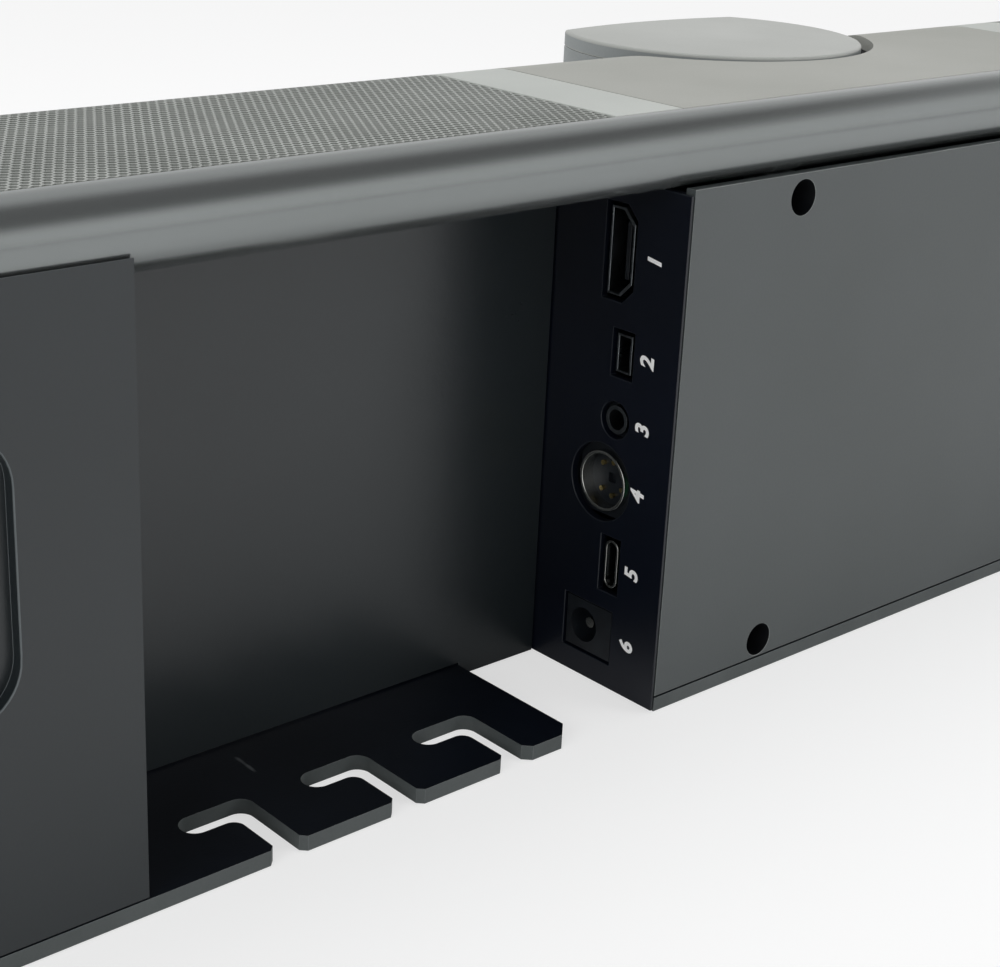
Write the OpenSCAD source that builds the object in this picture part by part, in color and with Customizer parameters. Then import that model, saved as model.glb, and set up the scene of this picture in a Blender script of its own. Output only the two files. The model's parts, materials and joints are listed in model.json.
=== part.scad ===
// Conference camera bar with a panning head, a cable bay and a socket panel at the rear.
// X runs along the bar, the camera looks toward -Y, the base lies on Z = 0.
// The origin is the mouth of the tripod thread in the middle of the base.

/* [Bar] */
// Length over the end caps
bar_length = 600; // [560:10:760]
// Height of the top skins above the base
bar_height = 103.6; // [102:0.2:112]
// Distance from the rear plane to the front of the bar
bar_depth = 72; // [72:1:84]
// Rounding between top and front
top_radius = 25; // [20:1:28]
// Rounding between front and base
bottom_radius = 10; // [8:0.5:11]
// Radius of the half-round rear edge
lip_radius = 6.1; // [5.5:0.1:6.5]
// Thickness of the base plate
base_t = 2.6; // [2.4:0.1:3.2]
// Wall of the moulded housings
wall_t = 2.5; // [2:0.1:2.6]
// Thickness of the plain top skins
skin_t = 2.5; // [2:0.1:2.6]
// Thickness of the perforated sheet
sheet_t = 1.2; // [1:0.1:2]
// Thickness of an end cap
cap_t = 4; // [4:0.5:6]
// Gap left between neighbouring skins
seam = 0.3; // [0.3:0.05:0.4]

/* [Cable bay] */
// Width of the bay
bay_w = 100.8; // [98:0.2:110]
// Depth of the bay
bay_d = 30.3; // [29:0.1:30.5]
// Width of the notch beside the sockets
notch_w = 18.4; // [14:0.2:20]
// Width of a hook slot
slot_w = 4.8; // [4.4:0.1:5.2]
// Width of the side arm of a hook slot
arm_w = 5.1; // [4.6:0.1:5.4]
// How far a hook slot reaches in from the rear
slot_reach = 15.4; // [14:0.1:16]
// Width over a hook slot and its side arm
slot_span = 13.1; // [12:0.1:14]
// Distance between hook slots
slot_pitch = 22.6; // [22:0.1:23.2]
// Distance from the panel to the first hook slot
slot_start = 29.1; // [28:0.1:30]
// Corner cut of the hooks
hook_cut = 1; // [0.6:0.1:1.4]
// Rounding at the tip of a hook
hook_round = 2; // [1:0.1:2.4]
// Corner cut of the last prong beside the notch
prong_cut = 2.8; // [2:0.1:3.2]

/* [Centre block] */
// Width of the rear cover
cover_w = 138; // [138:1:144]
// Thickness of the rear cover
cover_t = 2; // [1.8:0.1:2.2]
// Distance from the cover's top edge up to the top skins
cover_drop = 11.6; // [11.4:0.1:11.9]
// Distance between the screw wells along the bar
well_pitch = 83; // [80:1:86]
// Radius of a screw well
well_radius = 3.1; // [3:0.1:3.2]
// Depth of a screw well
well_depth = 8; // [7:0.5:9]
// Edge of the cover left under the lower screw wells
well_edge = 0.3; // [0.25:0.05:0.5]
// Distance from the upper screw wells up to the top skins
well_drop = 15.8; // [15.6:0.1:16.2]
// Thickness of the socket panel
panel_t = 1.5; // [1.4:0.1:1.6]
// Thickness of the panel's rim beside the cover
panel_rim = 0.5; // [0.4:0.1:0.8]
// Width of the centre shroud
shroud_w = 131; // [130:0.5:132]
// Width of a trim strip
trim_w = 14.7; // [13:0.1:16]
// Height of the socket side of the main board above the rear plane
board_inset = 10.1; // [10:0.05:10.15]
// Thickness of the circuit boards
board_t = 1.6; // [1.4:0.1:1.7]

/* [Camera head] */
// Distance from the rear plane to the pan axis
pan_inset = 60.7; // [60:0.1:61]
// Radius of the head
head_radius = 29.5; // [29:0.1:29.6]
// Radius of the bowed front of the head
front_bow = 120; // [100:5:140]
// Distance from the pan axis to the front of the head
front_reach = 19.6; // [19.4:0.1:20]
// Height of the deck the head turns on
deck_z = 18.3; // [18.1:0.1:18.5]
// Thickness of the deck
deck_t = 2.5; // [2.3:0.1:2.7]
// Thickness of the cap of the head
head_cap_t = 3; // [2.8:0.1:3.2]
// How far the cap stands above the top skins
head_proud = 0.5; // [0.3:0.1:1]
// Wall of the head shell
head_wall = 2.2; // [2:0.1:2.4]
// Height of the tilt axis
tilt_z = 62; // [58:0.5:66]
// Radius of the tilt cradle
cradle_radius = 13; // [12.5:0.1:13.2]
// Radius of the lens barrel
barrel_radius = 8; // [7.5:0.1:8.2]
// Radial clearance of the turning shafts
running_gap = 0.05; // [0.02:0.01:0.1]

/* [Speakers] */
// Radius of a driver basket
driver_radius = 33; // [30:0.5:34]
// Distance from the middle of the bar to a driver
driver_x = 190; // [180:1:200]
// Height of a driver
driver_z = 48; // [46:0.5:50]
// Wall of a speaker box
box_wall = 2.5; // [2:0.1:3]

/* [Fixings] */
// Bore radius of the tripod thread
tripod_radius = 3.175; // [3.1:0.025:3.3]
// Bore radius of the wall bracket threads
bracket_radius = 2; // [1.8:0.1:2.2]
// Distance from the ends of a recess to its two bracket threads
bracket_edge = 15; // [12:1:20]

/* [Hidden] */
$fn = 64;
fine = 96;
over = 1;
fit = 0.1;
half = bar_length / 2;
rear_y = bar_depth / 2;
front_y = -rear_y;
inner_x = half - cap_t - seam;
lip_y = rear_y - lip_radius;
lip_z = bar_height - lip_radius;
rail_low = bar_height - 2 * lip_radius;
rail_t = 2.5;
rail_reach = 38;
rib_w = 9;
rib_top = bar_height - skin_t - seam;
rail_core = 1.6;
rail_core_inset = 4.4;
rail_core_drop = 0.3;
rail_core_y = lip_y - rail_core_inset;
rail_core_z = lip_z - rail_core_drop;
skin_end = lip_y - seam;
base_front = front_y + bottom_radius + seam;
floor_z = base_t + seam;
wall_top = rail_low - seam;
brow_share = 0.42;
bay_y = rear_y - bay_d;
panel_x = cover_w / 2;
bay_x = panel_x + bay_w;
trim_x = shroud_w / 2 + seam;
grille_x = trim_x + trim_w + 2 * seam;
foot_z = seam;
brow_top = lip_z - lip_radius * brow_share;
cover_top = bar_height - cover_drop;
cover_right = panel_x - panel_rim - seam;
well_low = floor_z + well_radius + well_edge;
well_high = bar_height - well_drop;

recess_near = 17.8;
recess_end = 22.4;
recess_x = bay_x + recess_near;
recess_w = half - recess_end - recess_x;
recess_low = 37.2;
recess_h = 39.5;
recess_r = 8;
recess_d = 2;
bracket_places = [recess_x + bracket_edge, recess_x + recess_w - bracket_edge];
recess_z = recess_low + recess_h / 2;
insert_l = 7;
insert_radius = 3;
insert_pad = 5;
insert_y = rear_y - recess_d - insert_l;
boss_w = 8;
boss_h = 12.5;
boss_inset = 24;
boss_back = 5.6;
boss_near = recess_x - boss_back;
boss_far = half - boss_inset;
boss_y = 22;
screw_y = 26;
screw_core = 1.25;
screw_head = 2.6;
screw_l = 9;
thread_l = 8;
screw_sink = 1.6;

head_y = rear_y - pan_inset;
bite_radius = 36;
bite_shift = 5.3;
bite_y = head_y - bite_shift;
well_t = 2.2;
bore_gap = 0.5;
well_bore = bite_radius + bore_gap;
plate_y = 7.6;
plate_t = 4.4;
plate_x = panel_x - panel_t - seam;
post_radius = 3;
board_y = rear_y - board_inset;
board_post_x = 52;
board_post_low = 19;
board_post_high = 77;
board_mid_low = 12;
board_mid_high = 82;
board_low = 5;
board_high = 87;
board_end = 47;
board_left = -62;
well_floor = 2;
well_wall = 1.4;
cover_inner = rear_y - well_depth - well_floor;
cover_screw = 1.5;
cover_post = 2.9;
base_screw_x = 51;
base_screw_y = 15;
base_screw_places = [[-boss_far, screw_y], [-boss_near, screw_y], [boss_near, screw_y],
                     [boss_far, screw_y], [-base_screw_x, base_screw_y], [base_screw_x, base_screw_y]];

bearing_t = 1.1;
head_low = deck_z + deck_t + bearing_t + fit;
head_base_t = 3;
head_top = bar_height + head_proud;
shell_low = head_low + head_base_t;
shell_top = head_top - head_cap_t;
bow_y = head_y - front_reach + front_bow;
window_w = 37;
window_low = 32;
window_h = 62;
window_t = 2;
grip_d = 1.1;
grip_h = 42;
grip_w = 17;
motor_radius = 7;
motor_low = 6;
motor_floor = 1;
shaft_radius = 1.5;
shaft_low = 8;
shaft_top = 27;
bearing_in = 9;
bearing_out = 13;
hub_radius = 5;
hub_gap = 1;
yoke_x = 20;
yoke_t = 2.5;
yoke_w = 12;
yoke_top = 70;
trunnion = 2;
trunnion_l = 25;
cradle_x = 17;
barrel_l = 14.5;
barrel_back = 2;
barrel_wall = 1.4;
glass_t = 1.2;
glass_inset = 1.5;
sensor_w = 20;
sensor_gap = 13.2;
tilt_motor_r = 6;
tilt_motor_x = 22.8;
tilt_motor_t = 3.4;

video_z = 78.8;
video_inset = 14.95;
video_y = rear_y - video_inset;
video_h = 14.1;
video_w = 4.7;
video_cut = 2.4;
video_narrow = 9.8;
metal_t = 0.45;
mic_z = 61.8;
mic_inset = 12.7;
mic_y = rear_y - mic_inset;
mic_h = 5.9;
mic_w = 2.6;
jack_z = 50;
jack_inset = 13.4;
jack_y = rear_y - jack_inset;
jack_radius = 1.8;
jack_ring = 2.5;
serial_z = 38.1;
serial_inset = 15.9;
serial_y = rear_y - serial_inset;
serial_radius = 5.45;
serial_wall = 0.6;
serial_block = 13;
pin_radius = 0.45;
pin_circle = 3.1;
pin_angles = [25, 80, 130, 230, 280, 335];
key_w = 1.7;
computer_z = 23.6;
computer_inset = 12.4;
computer_y = rear_y - computer_inset;
computer_h = 8.94;
computer_w = 3.16;
power_z = 9.9;
power_inset = 16.75;
power_y = rear_y - power_inset;
power_h = 9.5;
power_w = 11.1;
power_bore = 3.2;
power_bore_y = 1.3;
power_pin = 1;
socket_back = 56;
socket_deep = 10;
socket_floor = 1;
face_inset = 0.4;
socket_face = panel_x - face_inset;
cut_gap = 0.8;
tongue_t = 0.7;
tongue_h = 6.2;

box_x = 84;
box_gap = 14;
box_end = half - box_gap;
box_inset = 4.5;
box_front = front_y + box_inset;
box_back = 2.9;
box_low = 8;
box_top = 88;
cone_radius = 24;
surround_radius = 29;
magnet_radius = 18;
magnet_l = 11;
basket_l = 15;
flange_t = 2;
rib_near = 95;
rib_inset = 75;
rib_far = half - rib_inset;

status_w = 18;
status_low = 11;
status_h = 4;
voice_w = 116;
voice_low = 9.5;
voice_h = 7;
voice_t = 1.3;
capsule_r = 2.5;
capsule_t = 1.5;
capsule_near = 20;
capsule_far = 50;
voice_cut_y = 28;

chip_w = 22;
chip_x = -30;
chip_z = 34;
small_w = 11;
small_x = 6;
small_low = 29;
small_high = 50;
small_far = -50;
small_far_z = 60;
sink_x = -36;
sink_z = 28;
sink_w = 34;
sink_h = 10;
fin_t = 2.5;
fin_pitch = 5.25;
fin_count = 6;
amp_x = 105;
amp_w = 60;
amp_low = 20;
amp_y = 21.4;
amp_post = 2;
amp_edge = 4;
amp_sink_x = 145;
amp_sink_w = 10;
amp_sink_t = 7.4;
amp_cap_x = 125;
amp_cap_r = 5;
amp_cap_l = 11.4;
tripod_deep = 8;
tripod_top = 10;
hex_r = 1.2;
hex_deep = 0.8;
basket_rim = 0.5;
cone_t = 0.5;
cone_l = basket_l - box_wall - 2 * cone_t;
roll_t = 0.5;

// Outline of the front skins, seen from the end, drawn in by an inset
module skin_area(inset) {
  translate([front_y + top_radius, bar_height - top_radius])
    circle(r = top_radius - inset, $fn = fine);
  translate([front_y + bottom_radius, bottom_radius])
    circle(r = bottom_radius - inset, $fn = fine);
  translate([front_y + top_radius, bottom_radius])
    square([skin_end - front_y - top_radius + inset, bar_height - bottom_radius - inset]);
  translate([front_y + inset, bottom_radius])
    square([top_radius, bar_height - top_radius - bottom_radius]);
  translate([front_y + bottom_radius, inset])
    square([skin_end - front_y - bottom_radius + inset, bottom_radius]);
}

// One bent skin of a given thickness, running along X from a start
module skin(start, width, thick) {
  translate([start, 0, 0])
    rotate([90, 0, 90])
      linear_extrude(height = width)
        difference() {
          intersection() {
            skin_area(0);
            translate([front_y - over, -over])
              square([skin_end - front_y + over, bar_height + 2 * over]);
          }
          skin_area(thick);
          translate([front_y + bottom_radius, -over])
            square([bar_depth, bottom_radius + over]);
        }
}

// Plain bar of rectangular section between two corners
module block(from, to) {
  translate(from)
    cube(to - from);
}

// Rod along X, Y or Z with its foot at a point
module rod_x(at, r, l) {
  translate(at)
    rotate([0, 90, 0])
      cylinder(r = r, h = l);
}

module rod_y(at, r, l) {
  translate(at)
    rotate([-90, 0, 0])
      cylinder(r = r, h = l);
}

module rod_z(at, r, l) {
  translate(at)
    cylinder(r = r, h = l);
}

// Both sides of the bar
module both() {
  children();
  mirror([1, 0, 0])
    children();
}

// Flat shape lying in the socket panel, drawn as Y and Z, raised along X
module panel_shape(x, l) {
  translate([x, 0, 0])
    rotate([90, 0, 90])
      linear_extrude(height = l)
        children();
}

// Countersunk screw pointing along +Z with its head at the foot
module screw(core, head, l) {
  cylinder(r = core, h = l);
  cylinder(r = head, h = screw_sink);
}

// One cable hook slot: a straight way in, a round bend and a side arm with a round end
module hook_slot() {
  translate([0, slot_w / 2 - slot_reach])
    square([slot_w, slot_reach - slot_w / 2 + over]);
  translate([slot_w / 2, slot_w / 2 - slot_reach])
    circle(d = slot_w);
  translate([slot_w / 2, -slot_reach])
    square([slot_span - slot_w / 2 - arm_w / 2, arm_w]);
  translate([slot_span - arm_w / 2, arm_w / 2 - slot_reach])
    circle(d = arm_w);
  translate([slot_w / 2, arm_w - slot_reach - over])
    square([slot_w / 2 + hook_round, hook_round + over]);
}

// Round tip put back on a hook after its slot is cut
module hook_tip() {
  translate([slot_w + hook_round, arm_w + hook_round - slot_reach])
    circle(r = hook_round);
}

// Corner cut of a hook or prong at the rear edge, given by its leg
module corner_cut(leg) {
  rotate(45)
    square([leg * sqrt(2), leg * sqrt(2)], center = true);
}

// Flat outline of the base plate with the notch and the hooks
module base_outline() {
  difference() {
    translate([-inner_x, base_front])
      square([2 * inner_x, rear_y - base_front]);
    translate([plate_x, bay_y - wall_t - seam])
      square([panel_x + notch_w - plate_x, bay_d + wall_t + seam - cover_t]);
    translate([cover_right, bay_y])
      square([panel_x + notch_w - cover_right, bay_d + over]);
    for (i = [0:2])
      translate([panel_x + slot_start + i * slot_pitch, rear_y])
        hook_slot();
    for (i = [1:2])
      translate([panel_x + slot_start + i * slot_pitch, rear_y])
        corner_cut(hook_cut);
    for (i = [0:2])
      translate([panel_x + slot_start + slot_w + i * slot_pitch, rear_y])
        corner_cut(hook_cut);
    translate([panel_x + slot_start, rear_y])
      corner_cut(prong_cut / 2);
    translate([panel_x + notch_w, rear_y])
      corner_cut(prong_cut);
    circle(r = insert_radius + tripod_radius);
  }
  for (i = [0:2])
    translate([panel_x + slot_start + i * slot_pitch, rear_y])
      hook_tip();
}

module base_plate() {
  color("#3f4245")
    difference() {
      linear_extrude(height = base_t)
        base_outline();
      for (p = base_screw_places)
        rod_z([p[0], p[1], -over], screw_core + fit, base_t + 2 * over);
      for (p = base_screw_places)
        rod_z([p[0], p[1], -over], screw_head + fit, screw_sink + over);
    }
}

// Rounded recess for a wall bracket, as a flat shape in X and Z
module recess_area() {
  translate([recess_x + recess_r, recess_low])
    square([recess_w - 2 * recess_r, recess_h]);
  translate([recess_x, recess_low + recess_r])
    square([recess_w, recess_h - 2 * recess_r]);
  for (x = [recess_x + recess_r, recess_x + recess_w - recess_r])
    for (z = [recess_low + recess_r, recess_low + recess_h - recess_r])
      translate([x, z])
        circle(r = recess_r);
}

// Rear wall up to the half-round edge, with recess, threads and screw bosses, for both housings
module rear_block(start) {
  difference() {
    union() {
      block([start, rear_y - wall_t, floor_z], [inner_x, rear_y, brow_top]);
      block([recess_x - wall_t, rear_y - recess_d - wall_t, recess_low - wall_t],
            [recess_x + recess_w + wall_t, rear_y - wall_t / 2, recess_low + recess_h + wall_t]);
      for (x = bracket_places)
        rod_y([x, insert_y, recess_z], insert_pad, insert_l);
      for (x = [boss_near, boss_far])
        block([x - boss_w / 2, boss_y, floor_z],
              [x + boss_w / 2, rear_y - wall_t / 2, floor_z + boss_h]);
    }
    translate([0, rear_y + over, 0])
      rotate([90, 0, 0])
        linear_extrude(height = recess_d + over)
          recess_area();
    for (x = bracket_places)
      rod_y([x, insert_y - over, recess_z], insert_radius, insert_l + 2 * over);
    for (x = [boss_near, boss_far])
      rod_z([x, screw_y, floor_z - over], screw_core, screw_l + over);
    rod_x([start - over, lip_y, lip_z], lip_radius + seam, inner_x - start + 2 * over);
  }
}

module left_housing() {
  color("#46494c") {
    rear_block(bay_x);
    block([bay_x, bay_y, floor_z], [bay_x + wall_t, rear_y, wall_top]);
    block([panel_x + seam, bay_y - wall_t, floor_z], [bay_x + wall_t, bay_y, wall_top]);
    block([panel_x + seam, bay_y - wall_t, foot_z], [panel_x + notch_w - seam, bay_y, wall_top]);
  }
}

module right_housing() {
  color("#46494c")
    mirror([1, 0, 0]) {
      rear_block(panel_x + seam);
      block([panel_x + seam, bay_y, floor_z], [panel_x + seam + wall_t, rear_y, wall_top]);
      block([rib_near, box_back + seam, floor_z], [rib_near + wall_t, rear_y - wall_t / 2, wall_top]);
      block([rib_far, box_back + seam, floor_z],
            [rib_far + wall_t, rear_y - recess_d - wall_t / 2, wall_top]);
    }
}

module top_rail() {
  color("#5f6366")
    difference() {
      translate([-inner_x, 0, 0])
        rotate([90, 0, 90])
          linear_extrude(height = 2 * inner_x)
            difference() {
              union() {
                intersection() {
                  translate([lip_y, lip_z])
                    circle(r = lip_radius, $fn = fine);
                  translate([lip_y, rail_low])
                    square([lip_radius, 2 * lip_radius]);
                }
                translate([lip_y - rib_w, rail_low])
                  square([rib_w, rib_top - rail_low]);
                translate([lip_y - rail_reach, rail_low])
                  square([rail_reach, rail_t]);
              }
              translate([rail_core_y, rail_core_z])
                circle(r = rail_core);
            }
      rod_z([0, bite_y, rail_low - over], well_bore + well_t + seam, rail_t + 2 * over);
    }
}

module rear_cover() {
  color("#5d6063")
    difference() {
      union() {
        block([-panel_x, rear_y - cover_t, floor_z], [cover_right, rear_y, cover_top]);
        intersection() {
          for (s = [-1, 1], z = [well_low, well_high])
            rod_y([s * well_pitch / 2, cover_inner, z], well_radius + well_wall,
                  rear_y - cover_t / 2 - cover_inner);
          block([-panel_x, cover_inner - over, floor_z], [panel_x, rear_y, wall_top]);
        }
      }
      for (s = [-1, 1], z = [well_low, well_high])
        rod_y([s * well_pitch / 2, rear_y - well_depth, z], well_radius, well_depth + over);
      for (s = [-1, 1], z = [well_low, well_high])
        rod_y([s * well_pitch / 2, cover_inner - over, z], cover_screw, well_depth);
    }
}

// Profile of the video socket: square at the board's far side, cut corners at the near side
module video_area(grow) {
  difference() {
    translate([video_y, video_z])
      square([video_w + 2 * grow, video_h + 2 * grow], center = true);
    for (s = [-1, 1])
      translate([video_y + video_w / 2 + grow, video_z + s * (video_h / 2 + grow)])
        rotate(45)
          square([video_cut * sqrt(2), video_cut * sqrt(2)], center = true);
  }
}

// Profile of the small microphone socket
module mic_area(grow) {
  translate([mic_y, mic_z])
    square([mic_w + 2 * grow, mic_h + 2 * grow], center = true);
}

// Profile of the computer socket, a slot with round ends
module computer_area(grow) {
  translate([computer_y, computer_z])
    square([computer_w - 2 * grow, computer_h - computer_w], center = true);
  for (s = [-1, 1])
    translate([computer_y, computer_z + s * (computer_h - computer_w) / 2])
      circle(r = computer_w / 2 - grow);
}

module connector_panel() {
  color("#15181d")
    difference() {
      union() {
        block([panel_x - panel_t, bay_y - wall_t, foot_z], [panel_x, rear_y - cover_t - seam, wall_top]);
        block([panel_x - panel_rim, bay_y - wall_t, foot_z], [panel_x, rear_y, wall_top]);
      }
      panel_shape(panel_x - panel_t - over, panel_t + 2 * over) {
        video_area(cut_gap + metal_t);
        mic_area(cut_gap + metal_t);
        translate([jack_y, jack_z])
          circle(r = jack_ring + cut_gap);
        translate([serial_y, serial_z])
          circle(r = serial_radius + 2 * cut_gap);
        translate([computer_y, computer_z])
          square([computer_w + 2 * cut_gap, computer_h + 2 * cut_gap], center = true);
        translate([power_y, power_z])
          square([power_w + cut_gap, power_h + cut_gap], center = true);
      }
    }
}

module video_shell() {
  color("#9a9da0")
    panel_shape(socket_face - socket_deep, socket_deep)
      difference() {
        video_area(metal_t);
        video_area(0);
      }
}

module video_insert() {
  color("#101214") {
    panel_shape(socket_face - socket_deep - board_t, board_t)
      video_area(metal_t);
    block([socket_face - socket_deep - board_t, video_y, video_z - video_narrow / 2],
          [socket_face - socket_deep, board_y, video_z + video_narrow / 2]);
    block([socket_face - socket_deep, video_y - metal_t, video_z - video_narrow / 2],
          [socket_face - board_t, video_y + metal_t, video_z + video_narrow / 2]);
  }
}

module mic_shell() {
  color("#7c8083")
    panel_shape(socket_face - socket_deep / 2, socket_deep / 2)
      difference() {
        mic_area(metal_t);
        mic_area(0);
      }
}

module mic_insert() {
  color("#101214") {
    panel_shape(socket_face - socket_deep / 2 - board_t, board_t)
      mic_area(metal_t);
    block([socket_face - socket_deep / 2 - board_t, mic_y, mic_z - mic_w / 2],
          [socket_face - socket_deep / 2, board_y, mic_z + mic_w / 2]);
    block([socket_face - socket_deep / 2, mic_y - metal_t / 2, mic_z - mic_w / 2],
          [socket_face - board_t, mic_y + metal_t / 2, mic_z + mic_w / 2]);
  }
}

module jack_body() {
  color("#101214")
    difference() {
      block([socket_back, jack_y - jack_ring - cut_gap, jack_z - jack_ring - cut_gap],
            [panel_x - panel_t - seam, board_y, jack_z + jack_ring + cut_gap]);
      rod_x([socket_back + socket_floor, jack_y, jack_z], jack_ring, panel_t + socket_deep);
    }
}

module jack_sleeve() {
  color("#b9bcbf")
    difference() {
      rod_x([socket_back + socket_floor, jack_y, jack_z], jack_ring,
            socket_face - socket_back - socket_floor);
      rod_x([socket_back + 2 * socket_floor, jack_y, jack_z], jack_radius, panel_t + socket_deep);
    }
}

module serial_body() {
  color("#101214") {
    difference() {
      block([socket_back, serial_y - serial_block / 2, serial_z - serial_block / 2],
            [panel_x - panel_t - seam, board_y, serial_z + serial_block / 2]);
      rod_x([socket_back + board_t, serial_y, serial_z], serial_radius, panel_t + socket_deep);
    }
    difference() {
      rod_x([socket_back, serial_y, serial_z], serial_radius - serial_wall, socket_deep);
      for (a = pin_angles)
        rod_x([socket_back + board_t, serial_y + pin_circle * cos(a), serial_z + pin_circle * sin(a)],
              pin_radius, socket_deep);
      block([socket_back + socket_deep - socket_floor, serial_y - key_w / 2, serial_z - key_w / 2],
            [panel_x, serial_y + key_w / 2, serial_z + key_w / 2]);
    }
  }
}

module serial_ring() {
  color("#c4c7c9")
    difference() {
      rod_x([socket_back + board_t, serial_y, serial_z], serial_radius, socket_face - socket_back - board_t);
      rod_x([socket_back, serial_y, serial_z], serial_radius - serial_wall, socket_face - socket_back + over);
    }
}

module serial_pins() {
  color("#c9b27a")
    for (a = pin_angles)
      rod_x([socket_back + board_t, serial_y + pin_circle * cos(a), serial_z + pin_circle * sin(a)],
            pin_radius, socket_deep - socket_floor);
}

module computer_shell() {
  color("#a6a9ac")
    panel_shape(socket_face - socket_deep, socket_deep)
      difference() {
        computer_area(0);
        computer_area(metal_t);
      }
}

module computer_insert() {
  color("#101214") {
    panel_shape(socket_face - socket_deep - board_t, board_t)
      computer_area(0);
    block([socket_face - socket_deep, computer_y - tongue_t / 2, computer_z - tongue_h / 2],
          [socket_face - board_t, computer_y + tongue_t / 2, computer_z + tongue_h / 2]);
  }
}

module power_body() {
  color("#101214")
    difference() {
      block([socket_back, power_y - power_w / 2, power_z - power_h / 2],
            [socket_face, power_y + power_w / 2, power_z + power_h / 2]);
      rod_x([socket_back + 2 * socket_floor, power_y - power_bore_y, power_z], power_bore,
            panel_t + socket_deep);
    }
}

module power_tip() {
  color("#c4c7c9")
    rod_x([socket_back + 2 * socket_floor, power_y - power_bore_y, power_z], power_pin,
          socket_deep - socket_floor);
}

module main_board() {
  color("#1f5a3a")
    difference() {
      union() {
        block([board_left, board_y, board_mid_low], [plate_x, board_y + board_t, board_mid_high]);
        block([board_end, board_y, board_low], [plate_x, board_y + board_t, board_high]);
      }
      for (s = [-1, 1], z = [board_post_low, board_post_high])
        rod_y([s * board_post_x, board_y - over, z], cover_screw, board_t + 2 * over);
    }
}

module board_chips() {
  color("#1a1c1e") {
    block([chip_x, board_y - board_t, chip_z], [chip_x + chip_w, board_y, chip_z + chip_w]);
    for (z = [small_low, small_high])
      block([small_x, board_y - board_t, z], [small_x + small_w, board_y, z + small_w]);
    block([small_far, board_y - board_t, small_far_z], [small_far + small_w, board_y, small_far_z + small_w]);
  }
}

module heat_sink() {
  color("#8f9396")
    difference() {
      block([sink_x, board_y - board_t - sink_h, sink_z],
            [sink_x + sink_w, board_y - board_t, sink_z + sink_w]);
      for (i = [0:fin_count - 1])
        translate([sink_x + fin_t + i * fin_pitch, board_y - board_t - sink_h - over, sink_z - over])
          cube([fin_pitch - fin_t, sink_h + over - fin_t, sink_w + 2 * over]);
    }
}

module head_well() {
  color("#33363a")
    difference() {
      union() {
        intersection() {
          rod_z([0, bite_y, floor_z], well_bore + well_t, rib_top - floor_z);
          translate([-half, 0, 0])
            rotate([90, 0, 90])
              linear_extrude(height = bar_length)
                skin_area(skin_t + seam);
        }
        block([-plate_x, plate_y, floor_z], [plate_x, plate_y + plate_t, wall_top]);
        for (s = [-1, 1], z = [board_post_low, board_post_high])
          rod_y([s * board_post_x, plate_y, z], post_radius, board_y - plate_y);
        for (s = [-1, 1])
          rod_y([s * well_pitch / 2, plate_y, well_low], cover_post, cover_inner - seam - plate_y);
        for (s = [-1, 1])
          rod_y([s * well_pitch / 2, plate_y, well_high], cover_post, cover_inner - seam - plate_y);
        for (s = [-1, 1])
          block([s * base_screw_x - boss_w / 2, plate_y, floor_z],
                [s * base_screw_x + boss_w / 2, base_screw_y + boss_w / 2, floor_z + boss_h]);
      }
      rod_z([0, bite_y, floor_z - over], well_bore, bar_height);
      block([-half, front_y, floor_z - over], [half, -voice_cut_y, deck_z - seam]);
      for (s = [-1, 1])
        rod_z([s * base_screw_x, base_screw_y, floor_z - over], screw_core, screw_l + over);
      for (s = [-1, 1], z = [board_post_low, board_post_high])
        rod_y([s * board_post_x, board_y - thread_l, z], screw_core, thread_l + over);
      for (s = [-1, 1], z = [well_low, well_high])
        rod_y([s * well_pitch / 2, cover_inner - thread_l, z], screw_core, thread_l + over);
    }
}

module centre_shroud() {
  color("#8b8e8a")
    difference() {
      skin(-shroud_w / 2, shroud_w, skin_t);
      rod_z([0, bite_y, deck_z - seam], bite_radius, bar_height);
      block([-status_w / 2, front_y - over, status_low],
            [status_w / 2, front_y + skin_t + over, status_low + status_h]);
    }
}

module status_window() {
  color("#0c0d10")
    block([fit - status_w / 2, front_y, status_low + fit],
          [status_w / 2 - fit, front_y + skin_t, status_low + status_h - fit]);
}

module trim_strips() {
  color("#b3b7b2")
    both()
      skin(trim_x, trim_w, skin_t);
}

module grille_left() {
  color("#3a3d40")
    skin(grille_x, inner_x - grille_x, sheet_t);
}

module grille_right() {
  color("#3a3d40")
    skin(-inner_x, inner_x - grille_x, sheet_t);
}

// Outline of the whole bar seen from the end
module end_area() {
  skin_area(0);
  square([lip_y, bar_height]);
  square([rear_y, lip_z]);
  translate([lip_y, lip_z])
    circle(r = lip_radius, $fn = fine);
}

module end_cap(start) {
  difference() {
    translate([start, 0, 0])
      rotate([90, 0, 90])
        linear_extrude(height = cap_t)
          end_area();
    rod_x([start - over, rail_core_y, rail_core_z], rail_core, cap_t + 2 * over);
  }
}

module end_cap_left() {
  color("#4a4d50")
    end_cap(half - cap_t);
}

module end_cap_right() {
  color("#4a4d50")
    end_cap(-half);
}

module deck() {
  color("#2b2d30")
    difference() {
      union() {
        translate([0, 0, deck_z])
          linear_extrude(height = deck_t)
            head_area(0);
        intersection() {
          rod_z([0, bite_y, deck_z], bite_radius - seam, deck_t);
          block([-half, front_y, deck_z], [half, rear_y, deck_z + deck_t]);
        }
      }
      rod_z([0, head_y, deck_z - over], shaft_radius + running_gap, deck_t + 2 * over);
    }
}

module pan_motor() {
  color("#a9acae")
    difference() {
      rod_z([0, head_y, motor_low], motor_radius, deck_z - motor_low);
      rod_z([0, head_y, motor_low + motor_floor], shaft_radius + running_gap, deck_z);
    }
}

module pan_shaft() {
  color("#c4c7c9")
    rod_z([0, head_y, shaft_low], shaft_radius, shaft_top - shaft_low);
}

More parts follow.
